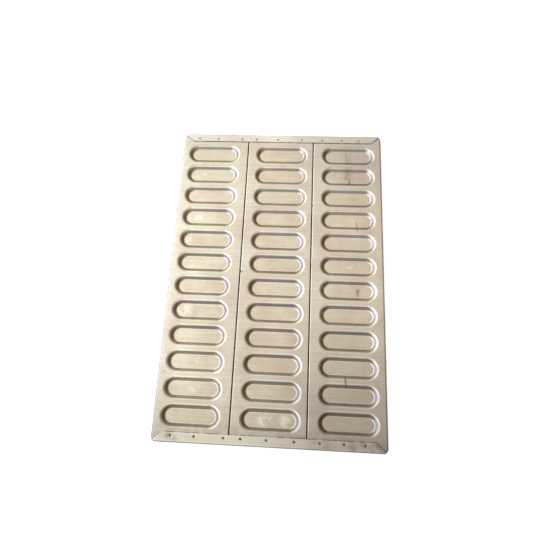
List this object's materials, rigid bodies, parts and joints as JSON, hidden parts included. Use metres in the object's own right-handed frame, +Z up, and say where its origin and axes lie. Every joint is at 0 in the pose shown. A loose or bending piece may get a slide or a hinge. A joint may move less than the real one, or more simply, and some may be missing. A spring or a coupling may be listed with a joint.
{
  "type": "baguette tray",
  "caption": "Flat baking tray of three pressed sheet panels with rows of shallow round-ended wells, a wire-rolled rim and riveted end strips.",
  "frame": {"origin": "under the middle of the tray, on the surface that the well floors rest on", "axes": "+Y along the tray's long side, +X along its short side, +Z up out of the wells"},
  "size_m": [0.4, 0.6, 0.0094],
  "materials": {
    "panel_steel": "aluminised sheet, satin, worn",
    "strip_steel": "aluminised strip, satin, worn",
    "wire_steel": "galvanised wire",
    "rivet_steel": "dull, darkened by baking"
  },
  "bodies": {
    "root": {"left_panel": "panel_steel", "centre_panel": "panel_steel", "right_panel": "panel_steel", "front_end_strip": "strip_steel", "rear_end_strip": "strip_steel", "rim_wire": "wire_steel", "front_rivet_1": "rivet_steel", "front_rivet_2": "rivet_steel", "front_rivet_3": "rivet_steel", "front_rivet_4": "rivet_steel", "front_rivet_5": "rivet_steel", "front_rivet_6": "rivet_steel", "front_rivet_7": "rivet_steel", "front_rivet_8": "rivet_steel", "front_rivet_9": "rivet_steel", "rear_rivet_1": "rivet_steel", "rear_rivet_2": "rivet_steel", "rear_rivet_3": "rivet_steel", "rear_rivet_4": "rivet_steel", "rear_rivet_5": "rivet_steel", "rear_rivet_6": "rivet_steel", "rear_rivet_7": "rivet_steel", "rear_rivet_8": "rivet_steel", "rear_rivet_9": "rivet_steel"}
  },
  "joints": []
}
